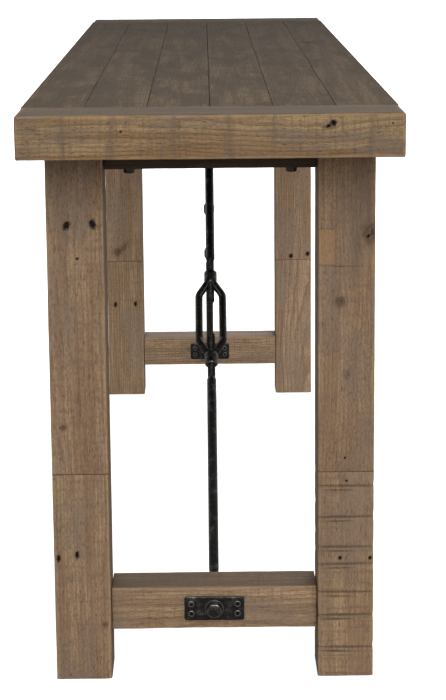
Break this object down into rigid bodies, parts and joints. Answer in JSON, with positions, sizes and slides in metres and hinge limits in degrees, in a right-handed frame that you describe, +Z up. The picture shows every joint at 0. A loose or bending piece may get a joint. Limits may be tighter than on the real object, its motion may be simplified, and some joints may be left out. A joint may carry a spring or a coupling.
{
  "type": "console table",
  "caption": "Narrow plank-topped console table on square block legs, with stretchers and two iron tie rods tensioned by turnbuckles.",
  "frame": {"origin": "on the floor under the middle of the top", "axes": "+X along the table's length to its front end, +Y to the right of someone standing at that end, +Z up"},
  "size_m": [1.778, 0.483, 0.787],
  "materials": {
    "top_wood": "old planks, grey-brown, worn and waxed matt",
    "leg_wood": "reclaimed softwood blocks, weathered tan-grey with saw marks and old nail holes, matt",
    "cross_wood": "reclaimed softwood, weathered tan, matt",
    "blackened_iron": "hammered blackened iron, satin",
    "fastener_iron": "blackened iron fasteners, rubbed bright on their edges"
  },
  "bodies": {
    "table": {"anchor_bolt_front": "fastener_iron", "anchor_bolt_rear": "fastener_iron", "anchor_washer_front": "blackened_iron", "anchor_washer_rear": "blackened_iron", "bracket_pin_front": "fastener_iron", "bracket_pin_rear": "fastener_iron", "bracket_screw_1": "fastener_iron", "bracket_screw_2": "fastener_iron", "bracket_screw_3": "fastener_iron", "bracket_screw_4": "fastener_iron", "end_board_front": "top_wood", "end_board_rear": "top_wood", "fork_front": "blackened_iron", "fork_pin_front": "fastener_iron", "fork_pin_rear": "fastener_iron", "fork_rear": "blackened_iron", "inner_plate_front": "blackened_iron", "inner_plate_rear": "blackened_iron", "leg_front_left_lower": "leg_wood", "leg_front_left_upper": "leg_wood", "leg_front_right_lower": "leg_wood", "leg_front_right_upper": "leg_wood", "leg_rear_left_lower": "leg_wood", "leg_rear_left_upper": "leg_wood", "leg_rear_right_lower": "leg_wood", "leg_rear_right_upper": "leg_wood", "lower_rod_front": "blackened_iron", "lower_rod_rear": "blackened_iron", "outer_plate_front": "blackened_iron", "outer_plate_rear": "blackened_iron", "plate_nail_front_1": "fastener_iron", "plate_nail_front_2": "fastener_iron", "plate_nail_front_3": "fastener_iron", "plate_nail_front_4": "fastener_iron", "plate_nail_rear_1": "fastener_iron", "plate_nail_rear_2": "fastener_iron", "plate_nail_rear_3": "fastener_iron", "plate_nail_rear_4": "fastener_iron", "rail_bolt_front_left": "fastener_iron", "rail_bolt_front_right": "fastener_iron", "rail_bolt_rear_left": "fastener_iron", "rail_bolt_rear_right": "fastener_iron", "stretcher_front": "cross_wood", "stretcher_rear": "cross_wood", "top_bracket": "blackened_iron", "top_plank_1": "top_wood", "top_plank_2": "top_wood", "top_plank_3": "top_wood", "top_plank_4": "top_wood", "top_plank_5": "top_wood", "top_plank_6": "top_wood", "top_rail_front": "cross_wood", "top_rail_rear": "cross_wood", "upper_rod_front": "blackened_iron", "upper_rod_rear": "blackened_iron"},
    "front_buckle": {"turnbuckle_front": "blackened_iron"},
    "rear_buckle": {"turnbuckle_rear": "blackened_iron"}
  },
  "joints": [
    {"name": "front_turnbuckle_turn", "type": "hinge", "parent": "table", "child": "front_buckle", "pos_m": [0.34228, 0, 0.40496], "axis": [-0.7146, 0, 0.6996], "range_deg": [-120, 120]},
    {"name": "rear_turnbuckle_turn", "type": "hinge", "parent": "table", "child": "rear_buckle", "pos_m": [-0.32835, 0, 0.41861], "axis": [0.7146, 0, 0.6996], "range_deg": [-120, 120]}
  ]
}
